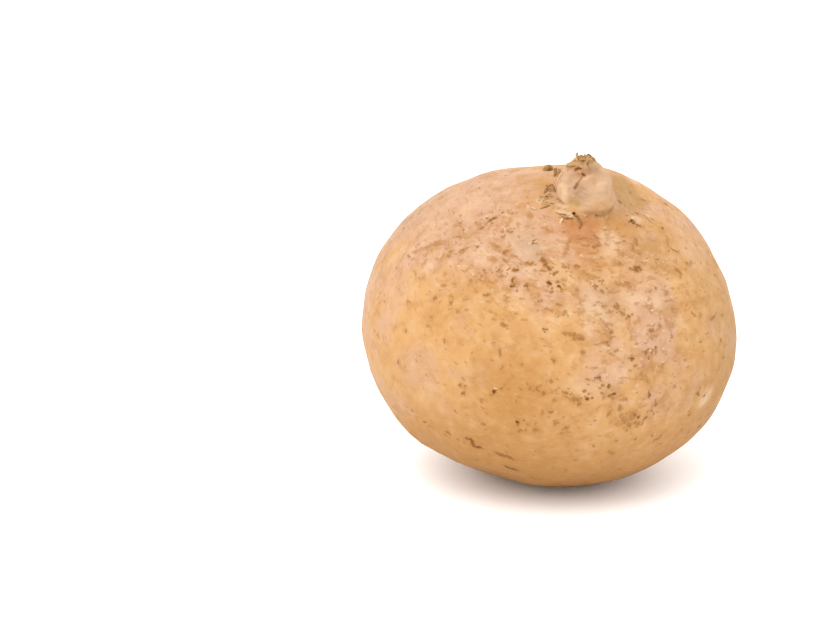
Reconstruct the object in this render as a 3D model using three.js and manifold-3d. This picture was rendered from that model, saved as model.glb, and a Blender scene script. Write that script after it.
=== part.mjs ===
// A whole jicama: the squat storage root of Pachyrhizus erosus, lifted and washed, with the
// stub of its stem on top and the broken end of its taproot low on the back. It is one grown
// piece, so it is one closed solid.
//
// Millimetres, +Z up. The root rests on a small flat spot, whose centre is the origin. -Y is
// the front, the side that the stem stub leans to, and +X is the right.
import * as THREE from "three";
import { mergeVertices } from "three/addons/utils/BufferGeometryUtils.js";
import Module from "manifold-3d";

// ---- Driving dimensions ---------------------------------------------------------------------
// A place on the root is a direction from the body's centre, in degrees: its turn from the
// front towards the right, and its rise above the level.
const HALF_WIDTH = 60; // of the body, across its equator
const HALF_DEPTH = 58; // of the body, front to back
const HALF_HEIGHT = 48.6; // of the body, along its own axis
const LEAN_FRONT = 12.9; // degrees that the body's axis leans to the front
const LEAN_RIGHT = 4.8; // degrees that it leans to the right
const CENTRE = new THREE.Vector3(-1.6, 2.9, 48.4); // the body's centre, over the flat spot

const CROWN = { turn: 34, rise: 68 }; // where the stem grew from the body
const STUB_AXIS = { turn: -35, rise: 83 }; // which way the stem stub points
const STUB_RADIUS = 8.6; // of its swollen foot
const STUB_HEIGHT = 12.8; // from the skin to the broken end
const STUB_SUNK = 7; // how far its foot reaches into the body

const TAIL = { turn: 174, rise: -44 }; // where the taproot left the body
const TAIL_AXIS = { turn: 178, rise: -26 }; // which way its end points
const TAIL_FOOT_RADIUS = 3.4;
const TAIL_TIP_RADIUS = 0.9;
const TAIL_LENGTH = 9;
const TAIL_SUNK = 5;
const TAIL_CURL = 3.2; // how far its tip has turned up

// Dry scales are left from the stem, each a flat, curled lens.
const SCALE_THICKNESS = 1;
const SKIN_SCALES = 12; // on the skin round the stub's left side
const END_SCALES = 11; // round the stub's broken end

const BODY_STEPS_ROUND = 80;
const BODY_STEPS_ALONG = 44;
const STUB_STEPS_ROUND = 40;
const TAIL_STEPS_ROUND = 14;
const TAIL_STEPS_ALONG = 7;
const SCALE_STEPS_ROUND = 7;
const SCALE_STEPS_ALONG = 5;

const SKIN_COLOUR = 0xd9a873;
const SKIN_ROUGHNESS = 0.55;

// The body's low swellings and hollows: where each is, how wide, and how far it stands out.
const SWELLS = [
  { ...CROWN, width: 8, height: 1.2 }, // the foot of the stem
  { turn: 8, rise: 64, width: 6, height: 1.3 }, // the skin drawn up to it on its left
  { turn: 108, rise: 72, width: 9, height: 2.6 }, // and behind it on its right
  { turn: 86, rise: 61, width: 4.5, height: -1.6 }, // the hollow on the stem's right
  { turn: 100, rise: 44, width: 12, height: 1.2 }, // the right shoulder
  { turn: -100, rise: 58, width: 14, height: 0.7 }, // the left shoulder
  { turn: 30, rise: -86, width: 13, height: 0.9 }, // the underside, where it rests
  { ...TAIL, width: 16, height: 2.6 }, // the taper to the taproot
  { ...TAIL, width: 7, height: 2.4 },
  { turn: 92, rise: 6, width: 16, height: -1.1 },
  { turn: -60, rise: -30, width: 15, height: 1.4 },
  { turn: -32, rise: -50, width: 12, height: -1.2 },
  { turn: 52, rise: -44, width: 14, height: 0.5 },
  { turn: 10, rise: 8, width: 22, height: 0.6 },
  { turn: 150, rise: 22, width: 17, height: 1.3 },
  { turn: -150, rise: 30, width: 18, height: 0.9 },
  { turn: -172, rise: -2, width: 13, height: -1.3 },
  { turn: 135, rise: -34, width: 12, height: -1.1 },
  { turn: -128, rise: -28, width: 15, height: 1.2 },
];

// ---- Helpers --------------------------------------------------------------------------------
const radians = THREE.MathUtils.degToRad;
const wasm = await Module();
wasm.setup();

// The unit direction of a place on the root.
function direction({ turn, rise }) {
  const level = Math.cos(radians(rise));
  return new THREE.Vector3(
    level * Math.sin(radians(turn)),
    -level * Math.cos(radians(turn)),
    Math.sin(radians(rise)),
  );
}

// A smooth hump of height 1, with its shoulders `width` from its middle.
const hump = (away, width) => Math.exp(-0.5 * (away / width) ** 2);

// The angle between two turns, in degrees, the short way round.
const apart = (a, b) => Math.abs(((((a - b) % 360) + 540) % 360) - 180);

// A closed geometry as a manifold-3d solid.
function solidOf(geometry) {
  const bare = geometry.clone();
  bare.deleteAttribute("normal");
  bare.deleteAttribute("uv");
  const merged = mergeVertices(bare, 1e-4);
  return new wasm.Manifold(
    new wasm.Mesh({
      numProp: 3,
      vertProperties: merged.getAttribute("position").array,
      triVerts: new Uint32Array(merged.index.array),
    }),
  );
}

// A manifold-3d solid as a geometry.
function geometryOf(solid) {
  const mesh = solid.getMesh();
  return new THREE.BufferGeometry()
    .setAttribute("position", new THREE.BufferAttribute(mesh.vertProperties, 3))
    .setIndex(new THREE.BufferAttribute(mesh.triVerts, 1));
}

// Moves each vertex of a geometry to where `place` puts it.
function reshape(geometry, place) {
  const points = geometry.getAttribute("position");
  const point = new THREE.Vector3();
  for (let i = 0; i < points.count; i += 1) {
    point.fromBufferAttribute(points, i);
    place(point);
    points.setXYZ(i, point.x, point.y, point.z);
  }
  return geometry;
}

// ---- The body -------------------------------------------------------------------------------
const bodyAxis = new THREE.Vector3(
  Math.tan(radians(LEAN_RIGHT)),
  -Math.tan(radians(LEAN_FRONT)),
  1,
).normalize();
const bodyRight = new THREE.Vector3(0, 1, 0).cross(bodyAxis).normalize();
const bodyBack = bodyAxis.clone().cross(bodyRight);
const swells = SWELLS.map((swell) => ({ ...swell, middle: direction(swell) }));

// The unevenness of the skin, a few tenths of a millimetre: two crossing wavy patterns.
function unevenness({ x, y, z }) {
  const broad =
    Math.sin(9 * x + 2 * Math.sin(5 * z)) *
    Math.sin(8 * y + 1.5 * Math.sin(6 * x) + 1);
  const close =
    Math.sin(17 * z + 3 * Math.sin(7 * y)) *
    Math.sin(15 * x + 2 * Math.sin(9 * y) + 2);
  return 0.35 * broad + 0.18 * close;
}

// How far the skin is from the body's centre: a leaning ellipsoid, with four faint lobes
// round it, its swellings and its unevenness.
function bodyRadius(way) {
  const right = way.dot(bodyRight);
  const back = way.dot(bodyBack);
  const up = way.dot(bodyAxis);
  const girth = right * right + back * back;
  const lobes = 0.5 * girth * Math.cos(4 * Math.atan2(right, -back) + 0.6);
  let radius =
    1 / Math.hypot(right / HALF_WIDTH, back / HALF_DEPTH, up / HALF_HEIGHT);
  radius += lobes + unevenness(way);
  for (const { middle, width, height } of swells) {
    radius += height * hump(HALF_WIDTH * middle.distanceTo(way), width);
  }
  return radius;
}

// The point on the skin in a direction.
const skinAt = (way) => way.clone().multiplyScalar(bodyRadius(way));

// A sphere's grid, with one pole at the crown, each vertex moved out to the skin.
function bodyGeometry() {
  const crownUp = new THREE.Quaternion().setFromUnitVectors(
    new THREE.Vector3(0, 1, 0),
    direction(CROWN),
  );
  return reshape(
    new THREE.SphereGeometry(1, BODY_STEPS_ROUND, BODY_STEPS_ALONG),
    (point) => {
      point.normalize().applyQuaternion(crownUp);
      point.multiplyScalar(bodyRadius(point));
    },
  );
}

// ---- What grows out of the body ---------------------------------------------------------------
const FRONT = new THREE.Vector3(0, -1, 0);
const UP = new THREE.Vector3(0, 0, 1);

// Turns a geometry so that its +Y points along an axis and its +Z faces a way, and sets it
// on the skin in the direction `way`.
function grow(geometry, way, axis, facing) {
  const right = axis.clone().cross(facing).normalize();
  const front = right.clone().cross(axis);
  const frame = new THREE.Matrix4().makeBasis(right, axis, front);
  return geometry.applyMatrix4(frame.setPosition(skinAt(way)));
}

// The stub's side, from the middle of its buried foot to the middle of its broken end.
function stubOutline() {
  const side = new THREE.SplineCurve(
    [
      [1.22, -STUB_SUNK],
      [1.2, -0.3 * STUB_HEIGHT],
      [1.07, -0.02 * STUB_HEIGHT],
      [1.01, 0.18 * STUB_HEIGHT],
      [0.96, 0.38 * STUB_HEIGHT],
      [0.83, 0.57 * STUB_HEIGHT],
      [0.66, 0.74 * STUB_HEIGHT],
      [0.54, 0.86 * STUB_HEIGHT],
      [0.38, 0.97 * STUB_HEIGHT],
    ].map(([share, height]) => new THREE.Vector2(share * STUB_RADIUS, height)),
  );
  return [
    new THREE.Vector2(0, -STUB_SUNK),
    ...side.getPoints(15),
    new THREE.Vector2(0.16 * STUB_RADIUS, STUB_HEIGHT),
    new THREE.Vector2(0, 0.99 * STUB_HEIGHT),
  ];
}

// How far the stub's side stands out at a turn round it: a big block at the front right that
// hangs over its own foot, a ridge on its left, a deep groove between them, and creases
// behind.
function stubRelief(turn, height) {
  const share = height / STUB_HEIGHT;
  const grooveTurn = -24 + 26 * share;
  const blocks =
    1.5 * hump(apart(turn, 34), 36) * hump(share - 0.24, 0.34) +
    1.0 * hump(apart(turn, -58), 20) * hump(share - 0.3, 0.3);
  const grooves =
    2.3 * hump(apart(turn, 56), 32) * hump(share + 0.25, 0.12) +
    2.4 * hump(apart(turn, grooveTurn), 11) * hump(share - 0.55, 0.3) +
    1.2 * hump(apart(turn, 104), 14) * hump(share - 0.3, 0.4) +
    1.4 * hump(apart(turn, 176), 16) * hump(share - 0.4, 0.4) +
    0.9 * hump(apart(turn, -112), 14) * hump(share - 0.4, 0.4);
  const ragged =
    (0.35 * Math.sin(radians(5 * turn + 40)) + 0.25 * Math.sin(radians(9 * turn))) *
    THREE.MathUtils.smoothstep(share, 0.6, 0.95);
  return blocks - grooves + ragged;
}

function stubGeometry() {
  const stub = reshape(
    new THREE.LatheGeometry(stubOutline(), STUB_STEPS_ROUND),
    (point) => {
      const radius = Math.hypot(point.x, point.z);
      if (radius < 1e-6) return;
      const turn = THREE.MathUtils.radToDeg(Math.atan2(point.x, point.z));
      const grown = Math.max(0.4, 1 + stubRelief(turn, point.y) / radius);
      point.x *= grown;
      point.z *= grown;
    },
  );
  return grow(stub, direction(CROWN), direction(STUB_AXIS), FRONT);
}

// The taproot's end: a tapered, wrinkled stub whose tip has dried and curled up.
function tailGeometry() {
  const tail = new THREE.CylinderGeometry(
    TAIL_TIP_RADIUS,
    TAIL_FOOT_RADIUS,
    TAIL_LENGTH + TAIL_SUNK,
    TAIL_STEPS_ROUND,
    TAIL_STEPS_ALONG,
  ).translate(0, (TAIL_LENGTH - TAIL_SUNK) / 2, 0);
  reshape(tail, (point) => {
    const along = Math.max(0, point.y / TAIL_LENGTH);
    const waist = 1 - 0.3 * Math.sin(Math.PI * along);
    const turn = Math.atan2(point.x, point.z);
    const wrinkle = 1 + 0.1 * Math.sin(5 * turn + 9 * along);
    point.x *= waist * wrinkle;
    point.z = point.z * waist * wrinkle + TAIL_CURL * along ** 2;
  });
  return grow(tail, direction(TAIL), direction(TAIL_AXIS), UP);
}

// One dry scale, with +Y from its foot at 0 to its tip, and its flat sides facing along Z.
// It is narrower at its tip, which is curled along Z.
function scaleGeometry({ long, wide, curl }) {
  const scale = new THREE.SphereGeometry(0.5, SCALE_STEPS_ROUND, SCALE_STEPS_ALONG);
  return reshape(scale, (point) => {
    const along = point.y + 0.5;
    point.x *= wide * (1.25 - 0.6 * along);
    point.y = along * long;
    point.z = point.z * SCALE_THICKNESS * (1.5 - 0.5 * along) + curl * along ** 2;
  });
}

// A seeded source of numbers from 0 to 1, so that the scales are the same each time.
function seeded(seed) {
  let state = seed;
  return () => {
    state = (state * 16807) % 2147483647;
    return state / 2147483647;
  };
}

// The scales on the skin lie outwards from the stub, at a bearing from its front towards its
// right, and their feet are sunk into the skin.
function skinScales(between) {
  const crown = direction(CROWN);
  const right = crown.clone().cross(FRONT).normalize();
  const front = right.clone().cross(crown);
  return Array.from({ length: SKIN_SCALES }, (_, i) => {
    const bearing = radians(-145 + (140 * i) / (SKIN_SCALES - 1) + between(-9, 9));
    const away = between(8.4, 11.8) / HALF_HEIGHT;
    const outwards = front
      .clone()
      .multiplyScalar(Math.cos(bearing))
      .addScaledVector(right, Math.sin(bearing));
    const way = crown.clone().addScaledVector(outwards, Math.tan(away)).normalize();
    const scale = scaleGeometry({
      long: between(4.4, 6.6),
      wide: between(2.2, 3.8),
      curl: between(-1.4, 0.3),
    });
    scale.translate(0, -2.2, 0).rotateX(radians(between(52, 74)));
    return grow(scale.rotateY(radians(between(-40, 40))), way, way, outwards);
  });
}

// The scales on the broken end stand up from its rim.
function endScales(between) {
  return Array.from({ length: END_SCALES }, (_, i) => {
    const scale = scaleGeometry({
      long: between(2.4, 3.8),
      wide: between(1.6, 2.8),
      curl: between(-0.3, 0.7),
    });
    scale.translate(0, -1.7, 0).rotateX(radians(between(4, 44)));
    scale.translate(0, 0.95 * STUB_HEIGHT, between(0.08, 0.4) * STUB_RADIUS);
    scale.rotateY(radians((360 * i) / END_SCALES + between(-12, 12)));
    return grow(scale, direction(CROWN), direction(STUB_AXIS), FRONT);
  });
}

// ---- The whole root ---------------------------------------------------------------------------
// All that grows is joined to the body, and what would be below the surface is cut away, which
// leaves the flat spot.
function rootGeometry() {
  const random = seeded(41);
  const between = (low, high) => low + (high - low) * random();
  const grown = [
    stubGeometry(),
    tailGeometry(),
    ...skinScales(between),
    ...endScales(between),
  ];
  let root = solidOf(bodyGeometry());
  for (const geometry of grown) root = root.add(solidOf(geometry));
  const below = new THREE.BoxGeometry(4 * HALF_WIDTH, 4 * HALF_WIDTH, HALF_WIDTH);
  below.translate(0, 0, -CENTRE.z - HALF_WIDTH / 2);
  root = root.subtract(solidOf(below));
  return geometryOf(root).translate(CENTRE.x, CENTRE.y, CENTRE.z);
}

const jicama = new THREE.Mesh(
  rootGeometry(),
  new THREE.MeshStandardMaterial({
    color: SKIN_COLOUR,
    roughness: SKIN_ROUGHNESS,
    metalness: 0,
  }),
);
jicama.name = "jicama_root";

export default new THREE.Group().add(jicama);
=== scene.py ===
"""A whole jicama in its finished looks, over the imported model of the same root.

The sections follow the root from its body outwards: the body with the stump of its stem, the
scars on its skin, the dry scales round the stump, and the end of its taproot. The floor, the
lights and the camera come last. Sizes are in millimetres, and become metres in each mesh.
"""

import math

import bmesh
import bpy
import numpy as np
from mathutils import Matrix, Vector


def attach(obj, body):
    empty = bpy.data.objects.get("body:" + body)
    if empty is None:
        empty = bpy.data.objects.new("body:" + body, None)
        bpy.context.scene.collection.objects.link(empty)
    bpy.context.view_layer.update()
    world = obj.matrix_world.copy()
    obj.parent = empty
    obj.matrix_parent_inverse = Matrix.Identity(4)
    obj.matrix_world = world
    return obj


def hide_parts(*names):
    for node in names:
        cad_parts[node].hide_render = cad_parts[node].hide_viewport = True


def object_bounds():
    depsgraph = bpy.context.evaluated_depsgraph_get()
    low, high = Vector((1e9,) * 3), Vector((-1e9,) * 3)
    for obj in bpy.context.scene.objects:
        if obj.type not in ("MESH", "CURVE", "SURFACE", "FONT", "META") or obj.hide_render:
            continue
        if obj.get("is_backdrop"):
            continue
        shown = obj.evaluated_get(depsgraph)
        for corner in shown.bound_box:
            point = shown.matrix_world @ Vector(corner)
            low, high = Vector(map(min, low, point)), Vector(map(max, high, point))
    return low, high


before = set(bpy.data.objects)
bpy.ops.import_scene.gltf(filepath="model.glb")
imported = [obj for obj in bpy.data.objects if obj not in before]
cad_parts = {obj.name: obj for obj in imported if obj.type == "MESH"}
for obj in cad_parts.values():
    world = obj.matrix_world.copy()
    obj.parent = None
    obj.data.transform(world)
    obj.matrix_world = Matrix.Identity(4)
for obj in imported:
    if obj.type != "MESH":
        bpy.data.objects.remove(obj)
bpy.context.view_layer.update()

# ---- The body and the stump of its stem --------------------------------------------------
# The swollen storage root: crisp white flesh under a thin, papery, tan skin. The stem grew
# from its crown and has dried and broken off. Body and stump are one growth, so they are
# one unbroken surface here too.
MM = 0.001  # metres

half_width = 60.0
half_depth = 58.0
half_height = 48.6
lean_front = 12.9  # degrees
lean_right = 4.8
body_middle = np.array([-1.6, 2.9, 48.4])

# The heights of the faint lobes and waves on the body, and of the skin's fine relief.
lobe_height = 0.5
broad_wave_height = 0.35
close_wave_height = 0.18
lump_height = 0.17
small_lump_height = 0.08
dash_height = 0.1
foot_fold_height = 0.42
tail_ring_height = 0.22

# A place on the root is a turn from the front towards the right, and a rise above the level.
crown_place = (34, 68)
stump_points_to = (-35, 83)
stump_radius = 8.6
stump_height = 12.8
tail_place = (174, -44)

# Low swellings and hollows: turn, rise, width and height of each.
swells = [
    (*crown_place, 8, 1.2),
    (8, 64, 6, 1.3),
    (108, 72, 9, 3.2),
    (88, 70, 5, 0.7),
    (86, 61, 4.5, -1.6),
    (112, 54, 12, 1.1),
    (100, 44, 12, 1.0),
    (-100, 58, 14, 0.7),
    (30, -86, 13, 0.9),
    (*tail_place, 16, 2.6),
    (*tail_place, 7, 2.4),
    (92, 6, 16, -1.1),
    (-60, -30, 15, 1.4),
    (-32, -50, 12, -1.2),
    (52, -44, 14, 0.5),
    (10, 8, 22, 0.6),
    (150, 22, 17, 1.3),
    (-150, 30, 18, 0.9),
    (-172, -2, 13, -1.3),
    (135, -34, 12, -1.1),
    (-128, -28, 15, 1.2),
]


def towards(turn, rise):
    """The unit vector of a place: a point on a globe at longitude turn and latitude rise."""
    turn, rise = np.radians(turn), np.radians(rise)
    level = np.cos(rise)
    return np.stack([level * np.sin(turn), -level * np.cos(turn), np.sin(rise)], axis=-1)


def unit(vector):
    return vector / np.linalg.norm(vector, axis=-1, keepdims=True)


def hump(away, width):
    """A bell of height 1 over away = 0: e to the power of minus half of (away / width) squared."""
    return np.exp(-0.5 * (away / width) ** 2)


def ease(value, low, high):
    """0 below low and 1 above high, with a smooth S between: 3 t squared minus 2 t cubed."""
    t = np.clip((value - low) / (high - low), 0, 1)
    return t * t * (3 - 2 * t)


def turn_apart(a, b):
    """The angle between two turns in degrees, the short way round."""
    return np.abs((a - b + 180) % 360 - 180)


def cloud(points, size, seed):
    """A smooth random field from -1 to 1: random values on a cubic lattice, size apart,
    blended between its eight nearest corners by smooth weights."""
    cells = 48
    lattice = np.random.default_rng(seed).uniform(-1, 1, (cells, cells, cells))
    scaled = points / size
    corner = np.floor(scaled).astype(int)
    weight = ease(scaled - corner, 0, 1)
    field = np.zeros(points.shape[:-1])
    for step in np.ndindex(2, 2, 2):
        share = np.prod(np.where(step, weight, 1 - weight), axis=-1)
        x, y, z = np.moveaxis((corner + step) % cells, -1, 0)
        field += share * lattice[x, y, z]
    return field


body_axis = unit(
    np.array([math.tan(math.radians(lean_right)), -math.tan(math.radians(lean_front)), 1])
)
body_right = unit(np.cross([0, 1, 0], body_axis))
body_back = np.cross(body_axis, body_right)

crown = towards(*crown_place)
crown_right = unit(np.cross(crown, [0, -1, 0]))
crown_front = np.cross(crown_right, crown)
crown_reach = 50.0  # from the body's middle to the skin near the crown


def body_radius(way):
    """How far the skin lies from the body's middle in the unit directions way: a leaning
    ellipsoid, plus four faint lobes round it, two crossed wave patterns and the swells."""
    right, back, up = way @ body_right, way @ body_back, way @ body_axis
    girth = right**2 + back**2
    across, deep, high = right / half_width, back / half_depth, up / half_height
    radius = 1 / np.sqrt(across**2 + deep**2 + high**2)
    radius += lobe_height * girth * np.cos(4 * np.arctan2(right, -back) + 0.6)
    x, y, z = np.moveaxis(way, -1, 0)
    broad = np.sin(9 * x + 2 * np.sin(5 * z)) * np.sin(8 * y + 1.5 * np.sin(6 * x) + 1)
    close = np.sin(17 * z + 3 * np.sin(7 * y)) * np.sin(15 * x + 2 * np.sin(9 * y) + 2)
    radius += broad_wave_height * broad + close_wave_height * close
    for turn, rise, width, height in swells:
        away = half_width * np.linalg.norm(way - towards(turn, rise), axis=-1)
        radius += height * hump(away, width)
    return radius


def ring_place(way):
    """Where a direction lies when the skin is stretched twofold away from the crown, in mm:
    its circle round the crown, and twice its distance from the crown as the height. A
    pattern that is even here runs in short dashes round the root."""
    across, ahead = way @ crown_right, way @ crown_front
    distance = crown_reach * np.arccos(np.clip(way @ crown, -1, 1))
    return np.stack([half_width * across, half_width * ahead, 2 * distance], axis=-1)


def skin_relief(way):
    """The fine unevenness of the skin: random lumps of two sizes, dashes round the root,
    folds that run out from the stump's foot, and a sine for the rings round the taproot."""
    at = half_width * way
    relief = lump_height * cloud(at, 9, 1) + small_lump_height * cloud(at, 4.2, 2)
    relief += dash_height * cloud(ring_place(way), 9, 3)
    across, ahead = way @ crown_right, way @ crown_front
    distance = crown_reach * np.arccos(np.clip(way @ crown, -1, 1))
    bearing = np.arctan2(across, ahead)
    fold_at = np.stack([9 * np.sin(bearing), 9 * np.cos(bearing), 0.35 * distance], axis=-1)
    relief += foot_fold_height * hump(distance - 15, 5) * cloud(fold_at, 1.3, 4)
    tail_away = half_width * np.linalg.norm(way - towards(*tail_place), axis=-1)
    rings = np.sin(1.7 * tail_away + 3 * cloud(at, 8, 5))
    relief += tail_ring_height * hump(tail_away, 12) * rings
    return relief


def skin_point(way):
    """The point of the finished skin in each direction, from the body's middle."""
    return way * (body_radius(way) + skin_relief(way))[..., None]


stump_axis = towards(*stump_points_to)
stump_right = unit(np.cross(stump_axis, [0, -1, 0]))
stump_front = np.cross(stump_right, stump_axis)

# The stump's side from the middle of its broken end to its buried foot, as shares of its
# radius and of its height.
stump_outline = [
    (0, 0.97),
    (0.12, 1.0),
    (0.23, 0.99),
    (0.35, 0.94),
    (0.49, 0.86),
    (0.61, 0.77),
    (0.76, 0.67),
    (0.9, 0.55),
    (0.98, 0.38),
    (1.01, 0.18),
    (1.07, -0.02),
    (1.2, -0.3),
    (1.34, -0.55),
]

# Its furrows: width in mm, depth from 0 to 1, and then the turn and the share of the height
# of points along each. The deepest is cut in by furrow_depth. Their brown in the skin's
# material is partly their own and partly painted shade, darker where deeper.
furrow_depth = 0.6
stump_furrows = [
    # The first two, broad and shallow across the top, are painted shade.
    (5.5, 0.38, (-60, 0.8), (60, 0.81)),
    (5.0, 0.3, (-52, 0.62), (-14, 0.66)),
    (0.9, 1.0, (-32, 0.81), (-23, 0.83), (-15, 0.85), (-8, 0.85)),
    (0.8, 0.35, (-32, 0.81), (-50, 0.73)),
    (0.9, 0.3, (-8, 0.85), (20, 0.86), (45, 0.83)),
    (1.3, 0.5, (2, 0.72), (8, 0.7)),
    (0.7, 0.6, (4, 0.72), (-7, 0.62), (-12, 0.54)),
    (0.8, 0.8, (-12, 0.54), (-18, 0.42)),
    (0.7, 0.55, (26, -0.27), (35, -0.3), (51, -0.29), (68, -0.26), (84, -0.19)),
    # These two broad shallow ones are painted shade: under the block, and down between the ridge
    # and the block.
    (1.6, 0.35, (-2, -0.36), (14, -0.38)),
    (1.2, 0.25, (-32, 0.7), (-30, 0.3), (-28, 0.0)),
    (1.2, 0.45, (-74, 0.7), (-66, 0.1)),
    (1.0, 0.3, (93, 0.6), (90, -0.1)),
    (1.1, 0.3, (150, 0.82), (139, 0.35)),
    (0.8, 0.45, (-147, 0.75), (-155, 0.4), (-138, 0.1)),
    (0.7, 0.5, (178, 0.7), (171, 0.3)),
    (1.3, 0.25, (121, 0.6), (112, 0.1)),
    (0.8, 0.3, (-112, 0.8), (-104, 0.3)),
]


def smooth_line(points, count):
    """A Catmull-Rom curve: each span is a cubic whose slope at a point is half the step
    between that point's neighbours."""
    points = np.array(points, float)
    line = np.vstack([2 * points[0] - points[1], points, 2 * points[-1] - points[-2]])
    at = np.linspace(0, len(points) - 1, count)
    span = np.minimum(at.astype(int), len(points) - 2)
    t = (at - span)[:, None]
    a, b, c, d = (line[span + k] for k in range(4))
    square = 2 * a - 5 * b + 4 * c - d
    cube = 3 * b - a - 3 * c + d
    return 0.5 * (2 * b + (c - a) * t + square * t**2 + cube * t**3)


def stump_furrow(turn, share):
    """How deep the stump is furrowed, from 0 to 1: a bell of the distance to the nearest
    furrow, measured on the stump's side laid flat."""
    radius = stump_radius * (1.05 - 0.5 * share)
    deepest = np.zeros(np.broadcast(turn, share).shape)
    for width, depth, *points in stump_furrows:
        for (turn_a, share_a), (turn_b, share_b) in zip(points, points[1:]):
            x = np.radians((turn - turn_a + 180) % 360 - 180) * radius
            y = (share - share_a) * stump_height
            x_span = math.radians(turn_b - turn_a) * radius
            y_span = (share_b - share_a) * stump_height
            along = np.clip((x * x_span + y * y_span) / (x_span**2 + y_span**2), 0, 1)
            away = np.hypot(x - along * x_span, y - along * y_span)
            deepest = np.maximum(deepest, depth * hump(away, width / 2))
    return deepest


def stump_swelling(turn, share):
    """How far the stump's side stands out, in mm: a block at the front right with a shoulder,
    that hangs over its own foot, folds on the left and behind, and a brow over the slit, with
    a ragged broken end, less a dip in front and the furrows. Each is a bell in the turn times
    a bell or a rise and a fall in the share, and the folds behind and the ragged end are
    sums of two cosines or sines of the turn."""
    block = 1.7 * hump(turn_apart(turn, 34), 34) * ease(share, -0.3, -0.1)
    block = block * (1 - ease(share, 0.56, 0.72))
    undercut = 0.45 * hump(turn_apart(turn, 58), 24) * hump(share + 0.27, 0.07)
    ridge = 1.5 * hump(turn_apart(turn, -48), 12) * ease(share, -0.35, 0.1)
    ridge = ridge * (1 - ease(share, 0.4, 0.7))
    left_fold = 0.8 * hump(turn_apart(turn, -88), 11) * hump(share - 0.3, 0.3)
    dip = 1.3 * hump(turn_apart(turn, -13), 14) * ease(share, -0.5, -0.15)
    dip = dip * (1 - ease(share, 0.25, 0.6))
    brow = 0.9 * hump(turn_apart(turn, -72), 34) * hump(share - 0.87, 0.08)
    waves = 0.35 * np.cos(np.radians(5 * turn + 20)) + 0.3 * np.cos(np.radians(8 * turn + 110))
    back_folds = waves * ease(turn_apart(turn, 34), 70, 110) * hump(share - 0.3, 0.35)
    ragged = 0.35 * np.sin(np.radians(5 * turn + 40)) + 0.25 * np.sin(np.radians(9 * turn))
    swelling = block + ridge + left_fold + back_folds + brow + ragged * ease(share, 0.6, 0.95)
    return swelling - undercut - dip - furrow_depth * stump_furrow(turn, share)


def root_surface(reach, height, turn):
    """The whole skin. A point lies at a distance reach from the crown and a turn round it.
    There the stump's side has this height, and the surface is the higher of the skin and the
    stump's side, blended by half of (a + b + the root of (a - b) squared plus k squared).
    The stump's swelling and its wrinkles then move it sideways. Returns the points, how far
    each is lifted off the skin, its share of the stump's height and its way from the middle."""
    angle = reach / crown_reach
    bearing = np.radians(turn)
    level = np.cos(bearing)[..., None] * crown_front + np.sin(bearing)[..., None] * crown_right
    way = np.cos(angle)[..., None] * crown + np.sin(angle)[..., None] * level
    skin = skin_point(way)
    foot = crown * body_radius(crown)
    above = height - (skin - foot) @ stump_axis
    fillet = 0.5 + 1.6 * ease(turn_apart(turn, 60), 20, 60)
    lift = 0.5 * (above + np.sqrt(above**2 + fillet**2))
    share = height / stump_height
    wall = ease(lift, 0, 1.4) * ease(reach, 0.5, 3.5)
    outward = np.cos(bearing)[..., None] * stump_front + np.sin(bearing)[..., None] * stump_right
    at = np.stack([9 * np.sin(bearing), 9 * np.cos(bearing), height], axis=-1)
    long_folds = cloud(at * [1, 1, 0.22], 1.5, 6)
    rings = cloud(at * [1, 1, 2.2], 1.1, 8)
    wrinkles = 0.28 * long_folds + 0.22 * cloud(at, 2.4, 7) + 0.1 * rings
    side = (stump_swelling(turn, share) + wrinkles) * wall
    top = ease(share, 0.82, 1.0) * ease(lift, 4, 8)
    splinters = cloud(at * [1, 1, 0.3] + reach[..., None], 1.9, 9)
    lift = lift + top * (0.6 * splinters + 0.2 * cloud(at + reach[..., None], 0.9, 10))
    points = skin + stump_axis * lift[..., None] + outward * side[..., None]
    return points, lift, share, way


def rows_of_faces(rows, columns, closed=False):
    """Four-sided faces between rows of points. In a closed surface each row goes once round."""
    spans = columns if closed else columns - 1
    row, column = np.meshgrid(np.arange(rows - 1), np.arange(spans), indexing="ij")
    after = (column + 1) % columns
    here, beyond = row * columns, (row + 1) * columns
    corners = [here + column, beyond + column, beyond + after, here + after]
    return np.stack(corners, axis=-1).reshape(-1, 4)


def closed_piece(name, grids):
    """One mesh of closed shapes. Each is a grid of rows that go once round, with a pole in
    the middle of its first row and of its last. Its faces point outwards."""
    count, rows, around = grids.shape[:3]
    poles = grids[:, [0, -1]].mean(axis=2)
    points = np.concatenate([grids.reshape(count, -1, 3), poles], axis=1)
    column = np.arange(around)
    after = (column + 1) % around
    sides = rows_of_faces(rows, around, closed=True)
    first_pole = np.full(around, rows * around)
    last_pole = first_pole + 1
    last_row = (rows - 1) * around
    first_cap = np.stack([column, after, first_pole], axis=-1)
    last_cap = np.stack([last_row + after, last_row + column, last_pole], axis=-1)
    caps = np.concatenate([first_cap, last_cap])
    offsets = np.arange(count)[:, None, None] * points.shape[1]
    faces = (sides + offsets).reshape(-1, 4).tolist() + (caps + offsets).reshape(-1, 3).tolist()
    piece = new_piece(name, points.reshape(-1, 3) * MM, faces)
    shape = bmesh.new()
    shape.from_mesh(piece.data)
    bmesh.ops.recalc_face_normals(shape, faces=shape.faces)
    shape.to_mesh(piece.data)
    shape.free()
    return piece


def new_piece(name, points, faces):
    """A smooth-shaded mesh object at the origin."""
    mesh = bpy.data.meshes.new(name)
    mesh.from_pydata(points.tolist(), [], faces)
    mesh.shade_smooth()
    piece = bpy.data.objects.new(name, mesh)
    bpy.context.collection.objects.link(piece)
    return piece


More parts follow.
